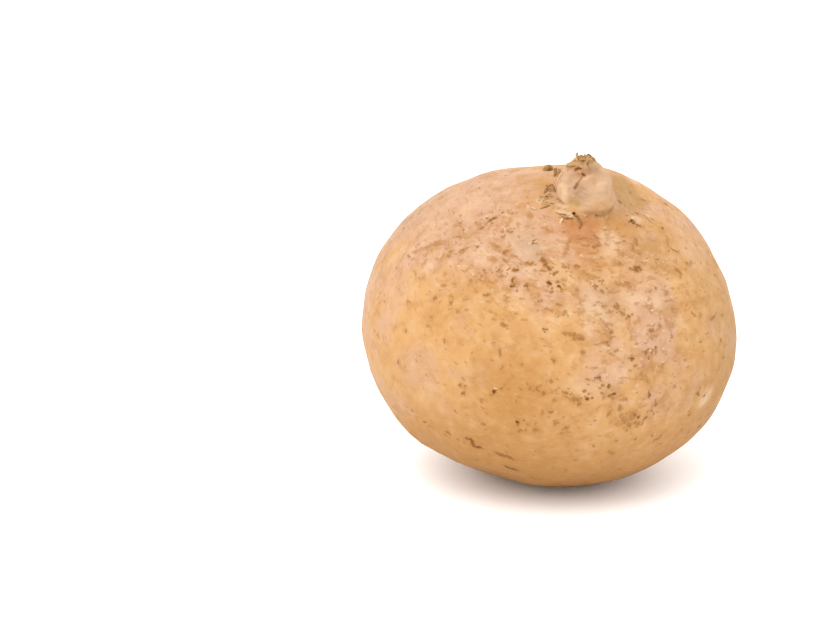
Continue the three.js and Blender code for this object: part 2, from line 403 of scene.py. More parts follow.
def mark_points(piece, name, values):
    """Keeps a number or a vector for each point of a piece, for its material to read."""
    values = np.asarray(values, float)
    kind, field = ("FLOAT", "value") if values.ndim == 1 else ("FLOAT_VECTOR", "vector")
    kept = piece.data.attributes.new(name, kind, "POINT")
    kept.data.foreach_set(field, values.ravel())


rows_on_stump = 104
rows_on_body = 184
around = 320
pole_gap = 0.02  # from the first row and the last to their poles, in mm
side_slope = 2  # how steeply the stump's side would go on down inside the body

side = smooth_line(stump_outline, rows_on_stump) * [stump_radius, stump_height]
side[0, 0] = pole_gap
foot_reach, foot_height = side[-1]
far_pole = math.pi * crown_reach - pole_gap
run = np.linspace(0, 1, rows_on_body + 1)[1:]
run = 0.3 * run + 0.7 * run**1.5  # so that the rows are closer near the stump
body_reach = foot_reach + (far_pole - foot_reach) * run


def height_beyond(reach):
    """The height of the stump's side where it has gone on below its foot, inside the body."""
    return foot_height - side_slope * (reach - foot_reach)


def root_at(way):
    """The finished surface in each direction outside the stump's foot."""
    reach = crown_reach * np.arccos(np.clip(way @ crown, -1, 1))
    turn = np.degrees(np.arctan2(way @ crown_right, way @ crown_front))
    return root_surface(reach, height_beyond(reach), turn)


reach = np.concatenate([side[:, 0], body_reach])
height = np.concatenate([side[:, 1], height_beyond(body_reach)])
turns = np.linspace(-180, 180, around, endpoint=False)
reach, turn = np.meshgrid(reach, turns, indexing="ij")
height = np.broadcast_to(height[:, None], reach.shape)
skin_grid, lift, share, way = root_surface(reach, height, turn)
skin_grid = skin_grid + body_middle
skin_grid[..., 2] = np.maximum(skin_grid[..., 2], 0)  # the flat spot that it rests on
skin = closed_piece("skin", skin_grid[None])

# Where the skin has a look of its own, and a few places of painted shade and painted light:
# turn, rise, width in mm and strength. Scurfy skin is creased and flecked. On the stump the
# places are a turn and a share of the height, with a width of each.
skin_places = {
    "rosy": [
        (-16, 38, 11, 0.9),
        (4, 44, 9, 0.6),
        (24, 17, 11, 1.0),
        (34, 4, 10, 0.6),
        (-48, 50, 15, 0.7),
        (-78, 42, 14, 0.8),
        (-96, 71, 12, 0.4),
        (64, 36, 12, 0.35),
        (46, -14, 8, 0.3),
        (150, 30, 22, 0.7),
        (-120, 10, 20, 0.7),
    ],
    "golden": [
        (-38, 18, 12, 0.4),
        (-6, 8, 11, 0.6),
        (0, -20, 26, 1.0),
        (62, 14, 16, 0.5),
        (46, -30, 18, 0.8),
        (-150, -20, 26, 0.9),
        (110, -25, 22, 0.8),
    ],
    "ochre": [
        # The first is painted shade: the lower middle of the front darker.
        (-10, -1, 11, 0.7),
        (52, 40, 15, 0.35),
        (-14, -28, 18, 0.35),
        (-4, 62, 14, 0.35),
        (-24, 81, 7, 0.6),
        (13, 37, 5, 0.35),
        (-27, 26, 7, 0.25),
        (46, -15, 7, 0.15),
        (-30, 22, 14, 0.3),
        (60, 48, 16, 0.15),
        (42, 54, 5, 0.5),
        (64, -12, 16, 0.4),
        # These five make the skin darker and more saturated towards the bottom, all round.
        (0, -52, 20, 0.9),
        (-52, -34, 16, 0.7),
        (60, -50, 18, 0.8),
        (130, -50, 22, 0.8),
        (-140, -45, 24, 0.8),
        (150, 10, 14, 0.3),
    ],
    "rusty": [
        (14, 52, 3.5, 0.75),
        (22, 51, 3.5, 0.75),
        (27, 54.5, 2.5, 0.7),
        (10, 55, 3.0, 0.6),
        (24, 44, 3.0, 0.4),
        (14, 43, 5.5, 0.4),
        (9, 37, 5, 0.25),
        (-60, 34, 5, 0.3),
        (-50, 41, 5, 0.3),
    ],
    "olive": [
        (81, 63, 4.2, 1.0),
        (76, 59, 3.5, 0.8),
        (92, 64, 3.5, 0.8),
        (46, 40, 5, 0.4),
        (-130, 55, 6, 0.6),
        # Painted shade: the right side of the body darker.
        (84, 12, 24, 0.6),
        (68, 60, 5, 0.6),
        (76, -16, 14, 0.6),
    ],
    "grey": [
        (-15, 46, 5, 0.55),
        (-8, 43, 4, 0.5),
        (18, 24, 6, 0.5),
        (-47, 40, 6, 0.3),
        (-100, 40, 14, 0.4),
        (160, 45, 16, 0.4),
    ],
    "pale": [
        (39, 22, 3, 0.7),
        (68, 33, 4, 0.5),
        (56.5, -14, 2.6, 0.7),
        (58.5, -12, 2.2, 0.55),
        (14, 22, 5, 0.5),
        (104, 60, 2.0, 1.0),
        (56, 52, 2.0, 0.9),
        (31, 47, 3.5, 0.8),
        (26, 40, 3.0, 0.5),
        (8, 63, 2.5, 0.7),
    ],
    "scurfy": [
        (-26, 44, 16, 0.9),
        (2, 40, 15, 0.9),
        (28, 14, 13, 0.9),
        (38, 34, 13, 0.6),
        (24, -12, 12, 0.5),
        (-55, 36, 10, 0.5),
        (170, 35, 34, 0.7),
        (-110, 25, 20, 0.5),
        (100, 15, 18, 0.5),
    ],
}
stump_places = {
    "rosy": [
        (-46, 0.33, 16, 0.2, 1.0),
        (22, 0.7, 16, 0.07, 0.8),
        (75, 0.3, 12, 0.3, 0.6),
        (0, 0.76, 24, 0.05, 0.8),
    ],
    "golden": [(30, 0.0, 26, 0.12, 0.5), (-60, 0.9, 30, 0.08, 0.5)],
    "ochre": [(180, 0.0, 60, 0.2, 0.5), (36, 0.0, 22, 0.08, 0.45), (80, 0.4, 12, 0.3, 0.6)],
    "rusty": [(18, 0.77, 22, 0.05, 0.8), (20, -0.12, 22, 0.08, 0.5), (180, 0.2, 60, 0.3, 0.4)],
    # The first olive place is painted shade in the valley between the ridge and the block, at the
    # stump's foot.
    "olive": [(-18, 0.0, 13, 0.15, 1.1), (-35, 0.85, 16, 0.05, 0.6), (150, 0.4, 40, 0.2, 0.4)],
    "grey": [
        # The first two, on the block's left face, are partly its own grey and partly painted
        # shade.
        (-8, 0.42, 11, 0.16, 1.0),
        (2, 0.25, 12, 0.12, 0.8),
        (-44, 0.58, 13, 0.08, 1.1),
        (48, 0.8, 26, 0.07, 1.2),
        (60, 0.56, 12, 0.14, 0.6),
    ],
    "pale": [
        # Painted light: the first is a painted highlight on the ridge at the left, the second
        # lightens the block's shaded left face, and the third and the last are light painted on
        # the block's face and on the rim of its shoulder.
        (-48, 0.32, 11, 0.16, 1.4),
        (-4, 0.36, 12, 0.14, 0.35),
        (46, 0.54, 13, 0.08, 0.6),
        (30, 0.35, 14, 0.1, 0.5),
        (16, 0.66, 14, 0.03, 0.7),
    ],
    "scurfy": [(-30, 0.5, 40, 0.3, 0.4)],
}


def patches(way, places):
    """How strongly each direction has a look: the sum of a bell over each place."""
    strength = np.zeros(way.shape[:-1])
    for turn, rise, width, amount in places:
        away = half_width * np.linalg.norm(way - towards(turn, rise), axis=-1)
        strength += amount * hump(away, width)
    return np.minimum(strength, 1)


def stump_patches(turn, share, places):
    """The same on the stump, with a bell in the turn times a bell in the share."""
    strength = np.zeros(share.shape)
    for place_turn, place_share, turn_width, share_width, amount in places:
        sideways = amount * hump(turn_apart(turn, place_turn), turn_width)
        strength += sideways * hump(share - place_share, share_width)
    return np.minimum(strength, 1)


def keep_looks(piece, way, lift, share, in_order):
    """Keeps for each point what the skin's material reads. in_order gives a grid's values in
    the order of the mesh's points."""
    on_stump = ease(lift, 0.4, 2.4)
    turn = np.degrees(np.arctan2(way @ crown_right, way @ crown_front))
    mark_points(piece, "ring_place", in_order(ring_place(way)))
    for name, places in skin_places.items():
        on_skin = patches(way, places) * (1 - on_stump)
        on_side = stump_patches(turn, share, stump_places[name]) * on_stump
        mark_points(piece, name, in_order(on_skin + on_side))
    mark_points(piece, "stump", in_order(on_stump))
    mark_points(piece, "bark", in_order(ease(share, 0.8, 0.96) * on_stump))
    mark_points(piece, "furrow", in_order(stump_furrow(turn, share) * ease(lift, 0, 0.6)))


def with_poles(values):
    """The one grid's values in the order of its mesh's points, poles included."""
    flat = values.reshape(-1, *values.shape[2:])
    return np.concatenate([flat, flat[:1], flat[-1:]])


keep_looks(skin, way, lift, share, with_poles)


light_level = 1.95  # the lamps make a white sheet this much brighter than the picture's white


def colour(red, green, blue):
    """The reflectance that shows as this screen colour of 0 to 255 under the lamps."""
    parts = np.array([red, green, blue]) / 255
    linear = np.where(parts <= 0.04045, parts / 12.92, ((parts + 0.055) / 1.055) ** 2.4)
    return (*(linear / light_level).tolist(), 1.0)


class Finish:
    """A material under construction: each method adds a node and returns its output. Its tone
    is its colour so far, over which lay and wash put others."""

    def __init__(self, name, tone=None):
        self.material = bpy.data.materials.new(name)
        self.material.use_nodes = True
        self.nodes = self.material.node_tree.nodes
        self.links = self.material.node_tree.links
        self.shader = self.nodes["Principled BSDF"]
        self.tone = tone

    def set(self, socket, value):
        if isinstance(value, bpy.types.NodeSocket):
            self.links.new(value, socket)
        else:
            socket.default_value = value

    def add(self, kind, inputs, **settings):
        made = self.nodes.new(kind)
        for name, value in settings.items():
            setattr(made, name, value)
        for name, value in inputs.items():
            self.set(made.inputs[name], value)
        return made

    def sum(self, operation, *values):
        return self.add("ShaderNodeMath", dict(enumerate(values)), operation=operation).outputs[0]

    def times(self, a, b):
        return self.sum("MULTIPLY", a, b)

    def centred(self, value):
        """A random pattern of 0 to 1, brought to lie round 0."""
        return self.sum("SUBTRACT", value, 0.5)

    def move(self, operation, inputs):
        return self.add("ShaderNodeVectorMath", inputs, operation=operation).outputs[0]

    def place(self):
        """The point in millimetres."""
        spot = self.nodes.new("ShaderNodeTexCoord").outputs["Object"]
        return self.move("SCALE", {0: spot, "Scale": 1 / MM})

    def kept(self, name):
        """A number kept for each point."""
        return self.add("ShaderNodeAttribute", {}, attribute_name=name).outputs["Fac"]

    def kept_place(self, name):
        """A vector kept for each point."""
        return self.add("ShaderNodeAttribute", {}, attribute_name=name).outputs["Vector"]

    def noise(self, place, size, detail=2.0, rough=0.5, twist=0.0):
        """A soft random pattern whose spots are about size across, near 0.5."""
        inputs = {"Vector": place, "Scale": 1 / size, "Detail": detail}
        inputs |= {"Roughness": rough, "Distortion": twist}
        return self.add("ShaderNodeTexNoise", inputs).outputs[0]

    def warped(self, place, size, amount):
        """The place moved about by noise, so that what is drawn there has ragged edges."""
        inputs = {"Vector": place, "Scale": 1 / size, "Detail": 2.0}
        push = self.add("ShaderNodeTexNoise", inputs).outputs[1]
        push = self.move("SUBTRACT", {0: push, 1: (0.5, 0.5, 0.5)})
        push = self.move("SCALE", {0: push, "Scale": amount})
        return self.move("ADD", {0: place, 1: push})

    def cells(self, place, size):
        """Scattered spots: the distance to the nearest, in cell sizes, and its own number."""
        made = self.add("ShaderNodeTexVoronoi", {"Vector": place, "Scale": 1 / size})
        own = self.add("ShaderNodeSeparateColor", {"Color": made.outputs["Color"]}).outputs[0]
        return made.outputs["Distance"], own

    def span(self, value, low, high, to_low=0.0, to_high=1.0):
        """A smooth S from to_low at low to to_high at high."""
        inputs = {"Value": value, "From Min": low, "From Max": high}
        inputs |= {"To Min": to_low, "To Max": to_high}
        return self.add("ShaderNodeMapRange", inputs, interpolation_type="SMOOTHSTEP").outputs[0]

    def veins(self, place, size, width):
        """Fine wandering lines: 1 where a noise crosses 0.5, and 0 where it is off by width."""
        off = self.sum("ABSOLUTE", self.centred(self.noise(place, size, 2, 0.55)))
        return self.span(off, 0, width, 1, 0)

    def tint(self, amount, below, above):
        """below, with above over it by amount."""
        inputs = {0: amount, 6: below, 7: above}
        return self.add("ShaderNodeMix", inputs, data_type="RGBA").outputs[2]

    def lay(self, own, amount):
        """Puts a colour over the tone by amount."""
        self.tone = self.tint(amount, self.tone, own)

    def wash(self, own, value, start, full, most=1.0, within=None):
        """Puts a colour over the tone: none of it where value is at start, and most of it
        where value is at full. Where within is given, the amount is times that."""
        amount = self.span(value, start, full, 0, most)
        self.lay(own, amount if within is None else self.times(within, amount))

    def height(self, value, depth):
        """A bump whose height is value times depth in mm."""
        inputs = {"Height": value, "Distance": depth * MM, "Strength": 1.0}
        return self.add("ShaderNodeBump", inputs).outputs[0]


def skin_finish():
    """Thin tan skin: rosy and golden blotches, brown specks that run in dashes round the root,
    and creases and pale flecks where it is scurfy, with painted shade and painted light in a few
    places. The stump is creamier, with tan bark at its end and brown furrows, partly painted
    shade."""
    gold, rose, ochre = colour(234, 179, 117), colour(229, 181, 146), colour(211, 152, 86)
    light, tan, brown = colour(247, 203, 152), colour(208, 150, 90), colour(184, 122, 64)
    rust, olive, pale = colour(206, 132, 72), colour(200, 152, 88), colour(248, 208, 166)
    cream, straw, grey = colour(232, 194, 158), colour(252, 216, 175), colour(208, 174, 138)
    bark, dull_bark = colour(212, 174, 124), colour(186, 146, 96)
    furrow_brown, furrow_dark = colour(170, 114, 64), colour(122, 78, 36)
    scar_brown, scar_black = colour(182, 126, 70), colour(114, 62, 12)

    finish = Finish("jicama_skin", gold)
    place, ring = finish.place(), finish.kept_place("ring_place")
    scurfy = finish.kept("scurfy")

    # Blotches of rose on gold, led by the places that are rosy or golden.
    blotch = finish.noise(finish.warped(place, 9, 5), 15, 3, 0.55)
    lean = finish.sum("SUBTRACT", finish.kept("rosy"), finish.kept("golden"))
    finish.wash(rose, finish.sum("MULTIPLY_ADD", lean, 0.22, blotch), 0.34, 0.68)

    # Broad lighter and darker clouds, and closer ones where the skin is scurfy.
    broad = finish.noise(finish.warped(ring, 8, 7), 11, 2, 0.5)
    finish.wash(light, broad, 0.5, 0.72, most=0.35)
    finish.wash(tan, broad, 0.46, 0.28, most=0.45)
    close = finish.noise(finish.warped(place, 5, 4.5), 5.2, 2, 0.5)
    some = finish.span(scurfy, 0, 0.9, 0.4, 1)
    finish.wash(tan, close, 0.5, 0.68, most=0.6, within=some)
    finish.wash(pale, close, 0.46, 0.3, most=0.55, within=some)

    # The stump is creamier than the skin.
    finish.lay(cream, finish.times(finish.kept("stump"), 0.55))

    # The places with a colour of their own, some of them painted shade and painted light, with
    # uneven edges, and the most of each colour.
    uneven = finish.centred(finish.noise(place, 3.2, 3, 0.6))
    own_colours = {
        "ochre": (ochre, 0.9),
        "rusty": (rust, 0.7),
        "olive": (olive, 0.8),
        "grey": (grey, 0.8),
        "pale": (pale, 0.9),
    }
    for name, (own, most) in own_colours.items():
        finish.wash(own, finish.sum("ADD", finish.kept(name), uneven), 0.05, 1.0, most)

    # Soft short strokes, broken creases, and flecks beside them, where the skin is scurfy.
    stroke = finish.noise(finish.warped(ring, 3.5, 5.5), 4.2, 2, 0.5)
    strokes = finish.times(some, finish.span(stroke, 0.56, 0.7))
    finish.lay(brown, finish.times(strokes, 0.45))
    creased = finish.times(some, finish.span(close, 0.42, 0.6))
    creases = finish.times(finish.veins(finish.warped(place, 3.5, 4), 8, 0.05), creased)
    finish.lay(brown, finish.times(creases, 0.4))
    fleck = finish.span(finish.noise(finish.warped(ring, 4, 4), 3.2, 2, 0.5), 0.62, 0.76)
    flecks = finish.times(fleck, finish.span(scurfy, 0, 0.8, 0.1, 0.6))
    finish.lay(straw, flecks)

    # Specks of three sizes: scattered spots in the stretched place, so that they are dashes on
    # the root. A spot shows where its own number and half of the crowd there add up to enough.
    speck_place = finish.warped(ring, 2.6, 3.2)
    crowd = finish.sum("MULTIPLY_ADD", scurfy, 0.12, finish.noise(place, 17, 2, 0.5))
    specks = 0.0
    for size, reach, share in ((6.0, 0.2, 0.6), (10.0, 0.15, 0.56), (3.6, 0.24, 0.62)):
        distance, own = finish.cells(speck_place, size)
        chosen = finish.sum("MULTIPLY_ADD", crowd, 0.5, own)
        chosen = finish.span(chosen, share + 0.2, share + 0.3)
        drop = finish.span(distance, reach * 0.2, reach, 1, 0)
        specks = finish.sum("MAXIMUM", specks, finish.times(drop, chosen))
    finish.lay(brown, finish.times(specks, 0.6))

    # Faint streaks round the root, and grain.
    streak = finish.noise(ring, 2.4, 3, 0.6, 0.4)
    finish.wash(pale, streak, 0.52, 0.75, most=0.14)
    finish.wash(tan, streak, 0.46, 0.28, most=0.14)
    grain = finish.noise(place, 0.8, 2, 0.6)
    finish.wash(brown, grain, 0.42, 0.25, most=0.1)

    # The stump's bark, and its brown furrows: partly their own brown and partly painted shade,
    # darker where deeper.
    bark_tone = finish.tint(finish.span(close, 0.35, 0.65), dull_bark, bark)
    bark_edge = finish.sum("ADD", finish.kept("bark"), uneven)
    finish.wash(bark_tone, bark_edge, 0.3, 0.8, most=0.75)
    furrow = finish.sum("MULTIPLY_ADD", finish.centred(close), 0.5, finish.kept("furrow"))
    furrow = finish.times(furrow, finish.span(finish.kept("furrow"), 0.02, 0.2))
    furrow_brown_and_shade = finish.tint(finish.span(furrow, 0.7, 1.0), furrow_brown, furrow_dark)
    finish.wash(furrow_brown_and_shade, furrow, 0.1, 0.8, most=0.95)

    # A scar is brown, or nearly black where it is deep, with ragged edges and a faint tan
    # stain round it.
    torn = finish.centred(finish.noise(place, 0.9, 3, 0.65))
    near, deep = finish.kept("scar"), finish.kept("scar_depth")
    stain = finish.span(finish.sum("MULTIPLY_ADD", torn, 0.9, near), 0.05, 0.8, 0, 0.4)
    fading = finish.times(finish.span(near, 0, 0.3), finish.span(deep, 0, 0.6))
    finish.lay(scar_brown, finish.times(stain, fading))
    scar = finish.span(finish.sum("MULTIPLY_ADD", torn, 1.7, near), 0.45, 0.95)
    scar = finish.times(scar, finish.span(near, 0, 0.5))
    scar = finish.times(scar, finish.span(deep, 0, 0.8, 0.25, 0.95))
    finish.lay(finish.tint(finish.span(deep, 0.5, 1.1), scar_brown, scar_black), scar)

    finish.set(finish.shader.inputs["Base Color"], finish.tone)
    finish.set(finish.shader.inputs["Roughness"], finish.span(broad, 0.3, 0.7, 0.5, 0.65))
    finish.set(finish.shader.inputs["Specular IOR Level"], finish.span(scar, 0, 0.8, 0.06, 0.0))

    # The relief in mm: flecks stand out, and specks, strokes and scars are pits.
    pits = finish.sum("MAXIMUM", finish.sum("MAXIMUM", specks, strokes), scar)
    relief = finish.times(finish.sum("SUBTRACT", flecks, pits), 0.12)
    for pattern, depth in ((streak, 0.2), (close, 0.45), (grain, 0.08)):
        relief = finish.sum("MULTIPLY_ADD", pattern, depth, relief)
    finish.set(finish.shader.inputs["Normal"], finish.height(relief, 1.0))
    return finish.material


skin_look = skin_finish()
skin.data.materials.append(skin_look)
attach(skin, "root")
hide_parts("jicama_root")

# ---- The scars on the skin -----------------------------------------------------------------
# Lenticels and healed scratches: corky brown dashes, most of them along the rings of growth.
# They are crowded below the stump and at the lower right, and here and there elsewhere.
# Each is a thin shape that lies on the skin and has the skin's own material.
scar_rows = 9
scar_columns = 7
scar_raised = 0.03  # mm
scar_swelling = 0.08  # how much higher its middle is, so that middles show over others' edges
scar_spread = 3.6  # a strip's width, for a scar 1 wide with a stain round it
listed_length = 1.35  # a listed scar's strip for a length of 1, as its ends fade
listed_width = 0.66
small_scars = 240
crumbs_each = 2
crumbed_depth = 0.5  # listed scars at least this deep have crumbs

# Where small scars are crowded: turn, rise, width in mm and strength.
scar_crowds = [(-10, 40, 26, 0.6), (25, -5, 24, 0.5), (170, 30, 40, 0.4)]

# Single scars: turn, rise, length and width in mm, heading in degrees from level, depth.
scars = [
    (-36.5, 53.5, 4.9, 2.0, 63, 0.75),
    (-40.5, 53.5, 1.0, 1.0, 40, 0.55),
    (-39, 49, 2.0, 1.1, 57, 0.6),
    (-27.5, 59, 1.0, 0.9, 0, 0.5),
    (-26.5, 49, 1.6, 1.0, 10, 0.45),
    (-25.5, 47, 1.4, 1.0, -20, 0.55),
    (-21.5, 50, 1.0, 0.9, 0, 0.7),
    (-63, 32, 4, 1.2, 30, 0.3),
    (-55, 38, 6, 1.2, 25, 0.35),
    (-48, 42.5, 4.2, 0.9, 12, 0.4),
    (-34.5, 41, 1.5, 1.4, 0, 0.6),
    (-40.5, 38.5, 1.5, 1.1, 0, 0.5),
    (-42.5, 36.5, 1.8, 0.9, 20, 0.3),
    (-46, 37, 1.8, 1.0, 20, 0.4),
    (-65, 30, 2.2, 0.9, 0, 0.5),
    (-21, 41.5, 2.2, 1.6, 40, 0.65),
    (-19.5, 37.5, 2.0, 1.3, -20, 0.5),
    (-9, 46, 0.9, 0.9, 0, 1.0),
    (-7.5, 46, 1.3, 0.7, 20, 0.45),
    (-14, 34.5, 2.4, 1.6, 5, 0.8),
    (-14, 31, 2.6, 0.8, 85, 0.8),
    (-14, 29, 2.0, 1.2, 0, 0.9),
    (-9, 29, 1.8, 1.2, -10, 0.8),
    (-0.5, 30.5, 2.4, 1.5, -15, 0.95),
    (3, 29.5, 1.8, 1.2, -20, 0.95),
    (4, 28.5, 1.4, 1.0, -50, 0.6),
    (5, 31.5, 2.4, 2.0, 0, 0.35),
    (-3, 35, 2.2, 0.8, 0, 0.5),
    (2, 34, 2.6, 1.4, 40, 0.7),
    (7, 36.5, 2.6, 0.9, 85, 0.35),
    (11, 36.5, 2.8, 1.4, -6, 0.6),
    (13, 34.5, 2.2, 1.2, -60, 0.3),
    (9.5, 28, 1.6, 1.2, 0, 0.4),
    (-42, 21, 1.8, 1.2, 0, 0.6),
    (-36, 22.5, 1.6, 0.7, 0, 0.3),
    (-30.5, 22.5, 2.0, 0.9, 10, 0.4),
    (-35, 18.5, 1.6, 0.7, 0, 0.3),
    (-28.5, 19.5, 1.6, 0.8, 0, 0.35),
    (-31, 29, 1.4, 1.0, 88, 0.3),
    (-19.5, 33.5, 1.6, 1.0, 60, 0.35),
    (-21.5, 23, 1.6, 0.7, 0, 0.35),
    (-15, 25, 1.8, 0.8, 0, 0.3),
    (-10, 25, 2.4, 0.7, 0, 0.3),
    (-5.5, 25.5, 2.0, 0.7, 0, 0.3),
    (-4, 24.5, 1.3, 1.0, 0, 0.55),
    (3, 23.5, 2.4, 1.0, -12, 0.45),
    (4.5, 21, 2.2, 1.2, 50, 0.5),
    (-8, 18, 3.0, 0.9, 0, 0.3),
    (-15, 16.5, 2.4, 1.3, -15, 0.6),
    (-1.5, 15.5, 2.0, 0.9, 0, 0.7),
    (-15, 8, 3.2, 1.0, -82, 0.55),
    (-14, 3.5, 2.0, 0.8, 60, 0.35),
    (9.5, 13, 2.8, 1.5, -10, 0.6),
    (10, 8.5, 1.8, 1.3, -20, 0.45),
    (37, 34, 4.2, 2.5, 12, 0.8),
    (34, 34, 1.2, 1.2, 0, 0.6),
    (41, 42, 3.2, 1.2, 60, 0.5),
    (49, 35, 2.0, 0.8, 0, 0.4),
    (52, 33.5, 1.2, 0.8, 0, 0.35),
    (61, 35, 3.6, 1.0, -50, 0.55),
    (69.5, 34, 1.4, 1.2, 0, 0.4),
    (62, 30, 1.6, 1.2, 40, 0.5),
    (27, 29.5, 5.0, 1.8, -14, 0.4),
    (17, 29.5, 2.2, 1.0, -25, 0.6),
    (19, 31, 1.0, 0.8, 0, 0.55),
    (20.5, 31, 1.0, 0.8, 0, 0.55),
    (19.5, 27.5, 1.8, 1.0, -40, 0.5),
    (38, 25, 2.2, 1.2, 0, 0.3),
    (44, 23.5, 2.4, 1.8, 0, 0.35),
    (19, 22.5, 2.2, 0.9, 0, 0.5),
    (23.5, 22, 2.6, 2.4, 5, 0.6),
    (25, 20, 3.0, 2.0, -43, 0.5),
    (27, 18.5, 1.3, 1.0, 0, 0.7),
    (20.5, 20.5, 3.0, 1.1, 8, 0.35),
    (20, 14, 1.8, 1.1, 60, 0.65),
    (17, 11, 3.6, 0.9, 0, 0.4),
    (18, 11, 1.3, 1.0, -60, 0.6),
    (21, 8, 2.0, 1.0, 5, 0.45),
    (19, 7.5, 1.6, 1.0, 0, 0.3),
    (26, 5.5, 1.4, 1.5, 0, 0.9),
    (27, 3, 1.4, 1.0, 0, 0.45),
    (33.5, 14.5, 2.8, 0.7, 0, 0.35),
    (34, 13, 2.6, 1.3, 5, 0.6),
    (37.5, 14, 1.6, 1.3, 0, 0.45),
    (32, 7.5, 1.2, 1.0, 0, 0.65),
    (34.5, 7.5, 1.4, 1.2, 60, 0.75),
    (31, 6.5, 1.6, 1.2, 75, 0.85),
    (34.5, 6, 2.0, 0.6, 30, 0.35),
    (61, 11, 2.0, 0.8, -20, 0.5),
    (69, 10, 1.8, 0.8, 0, 0.4),
    (53, 6, 2.0, 0.8, 0, 0.4),
    (65, -2, 2.2, 0.8, -10, 0.4),
    (31, -1.5, 3.0, 1.0, -70, 0.3),
    (14.5, 1, 2.2, 1.2, -5, 0.8),
    (16, -1.5, 1.4, 1.2, -30, 0.7),
    (18, -2, 1.6, 1.2, 60, 0.85),
    (19.5, -4.5, 1.4, 1.2, 20, 0.85),
    (16.5, -5, 2.8, 1.2, 85, 0.35),
    (8, -5.5, 4.2, 2.2, -4, 0.5),
    (5, -3.5, 1.4, 1.0, -30, 0.6),
    (10.5, -3, 1.4, 0.9, 15, 0.6),
    (11.5, -5.5, 1.6, 1.3, 10, 0.9),
    (23, -6.5, 2.6, 1.4, 5, 0.35),
    (22, -9.5, 2.6, 1.6, 85, 0.5),
    (25.5, -16, 1.8, 1.6, -20, 0.55),
    (18.5, -11, 1.2, 1.0, 0, 0.5),
    (32, -7, 1.6, 1.1, 80, 0.8),
    (34.5, -10.5, 1.6, 1.2, 85, 0.6),
    (34.5, -13.5, 1.2, 0.8, 90, 0.4),
    (28.5, -13.5, 1.2, 1.2, -40, 0.8),
    (31.5, -14, 1.1, 1.1, 0, 0.7),
    (29, -16, 2.6, 1.5, 65, 0.5),
    (22.5, -21.5, 1.2, 1.0, 90, 0.4),
    (29.5, -22, 1.2, 1.0, 0, 0.4),
    (22, -26.5, 3.6, 1.8, -35, 0.35),
    (52.5, -10.5, 1.3, 1.1, 0, 0.7),
    (51, -17.5, 1.4, 1.1, 90, 0.45),
    (-16.5, -4, 1.5, 1.4, 0, 1.0),
    (-9.5, -13.5, 1.5, 1.3, 0, 1.0),
    (-9, -16.5, 1.6, 1.1, 60, 0.5),
    (-6.5, -14, 1.2, 1.0, 60, 0.4),
    (-20.5, -15.5, 2.0, 1.3, 0, 0.45),
    (-2, -9.5, 3.0, 0.9, 88, 0.3),
    (-27.5, -3.5, 1.6, 1.0, 10, 0.6),
    (-26.5, -6, 1.4, 1.2, -20, 0.7),
    (-5.5, -2, 1.8, 0.9, 80, 0.4),
    (-3.5, -2, 1.8, 1.3, 85, 0.55),
    (-1.5, -3.5, 1.4, 1.2, 20, 0.6),
    (0.5, 0, 1.6, 1.2, -40, 0.5),
    (1.5, -5.5, 1.6, 0.9, 85, 0.35),
    (2, -13.5, 1.8, 1.0, 80, 0.4),
    (5.5, -15, 1.6, 1.4, 60, 0.6),
    (-35, -22, 2.2, 1.2, -30, 0.6),
    (-44, -20, 2.0, 1.0, 10, 0.6),
    (17, 48, 3.0, 1.6, 5, 0.45),
    (24.5, 48, 2.0, 1.0, 0, 0.5),
    (17, 45, 3.2, 1.4, 0, 0.4),
    (21, 44, 1.8, 1.4, -5, 0.65),
    (23.5, 44.5, 2.0, 1.2, 5, 0.6),
    (28, 44.5, 1.8, 1.4, -30, 0.4),
    (19.5, 41.5, 2.6, 1.2, 0, 0.35),
    (33.5, 40, 2.8, 1.6, 60, 0.3),
    (30, 36.5, 1.8, 1.5, 0, 0.4),
    (31.5, 51, 1.8, 1.0, 0, 0.4),
    (54, 55, 1.2, 0.9, 0, 0.4),
    (53, 52, 1.8, 1.5, -10, 1.0),
    (53.5, 49, 2.6, 1.0, -68, 0.75),
    (62, 54, 2.1, 1.3, -80, 0.6),
    (60, 61, 2.6, 0.9, -60, 0.6),
    (85, 56, 2.7, 1.4, 69, 0.5),
]

